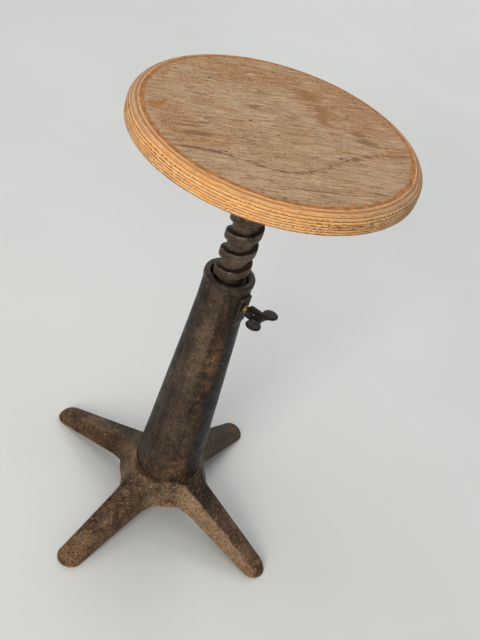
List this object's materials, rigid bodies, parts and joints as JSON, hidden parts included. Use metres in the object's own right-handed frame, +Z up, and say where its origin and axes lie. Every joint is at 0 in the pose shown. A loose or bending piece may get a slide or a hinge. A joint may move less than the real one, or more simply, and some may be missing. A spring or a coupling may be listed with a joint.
{
  "type": "adjustable swivel stool",
  "caption": "Adjustable swivel stool: round plywood seat on a coarse height screw in a tapered iron column with a wing screw, on a four-legged cast base.",
  "frame": {"origin": "on the floor under the column's axis, at the middle of the base", "axes": "+Z up along the column; the legs run along +X, -X, +Y and -Y; the wing screw points along +X"},
  "size_m": [0.3876, 0.3876, 0.6025],
  "materials": {
    "base_iron": "worn dark brown patina with orange rust and pitting",
    "column_iron": "dark brown semi-gloss patina with traces of black paint",
    "bush_iron": "dark brown oiled iron",
    "flange_iron": "dark cast iron",
    "wing_iron": "dark worn iron",
    "screw_steel": "dark brown oiled iron with rust in the grooves",
    "plain_steel": "dull steel",
    "brass": "tarnished brass",
    "plywood": "worn, thinly varnished plywood"
  },
  "bodies": {
    "root": {"base": "base_iron", "column": "column_iron", "column_dowel": "plain_steel", "column_washer": "plain_steel", "column_nut": "base_iron", "thread_bush": "bush_iron", "bush_set_screw_1": "plain_steel", "bush_set_screw_2": "plain_steel"},
    "stop_carrier": {"stop_washer": "plain_steel"},
    "seat": {"height_screw": "screw_steel", "stop_lock_washer": "plain_steel", "stop_screw": "plain_steel", "seat_flange": "flange_iron", "flange_pin": "plain_steel", "seat_screw_1": "plain_steel", "seat_screw_2": "plain_steel", "seat_screw_3": "plain_steel", "seat_screw_4": "plain_steel", "seat_board": "plywood"},
    "clamp_carrier": {"clamp_slug": "brass"},
    "clamp": {"clamp_stud": "brass", "wing_head": "wing_iron", "wing_pin": "plain_steel"}
  },
  "joints": [
    {"name": "seat_rise", "type": "slide", "parent": "root", "child": "stop_carrier", "axis": [0, 0, 1], "range_m": [-0.1397, 0.0889]},
    {"name": "seat_turn", "type": "hinge", "parent": "stop_carrier", "child": "seat", "pos_m": [0, 0, 0.2427], "axis": [0, 0, 1], "range_deg": [-1981, 1261]},
    {"name": "clamp_travel", "type": "slide", "parent": "root", "child": "clamp_carrier", "axis": [1, 0, 0], "range_m": [0, 0.00635]},
    {"name": "clamp_turn", "type": "hinge", "parent": "clamp_carrier", "child": "clamp", "pos_m": [0.0271, 0, 0.3688], "axis": [1, 0, 0], "range_deg": [0, 1441]}
  ],
  "couplings": [
    {"joint": "seat_turn", "follows": "seat_rise", "rad_per_m": 247.37},
    {"joint": "clamp_turn", "follows": "clamp_travel", "rad_per_m": 3957.9}
  ]
}
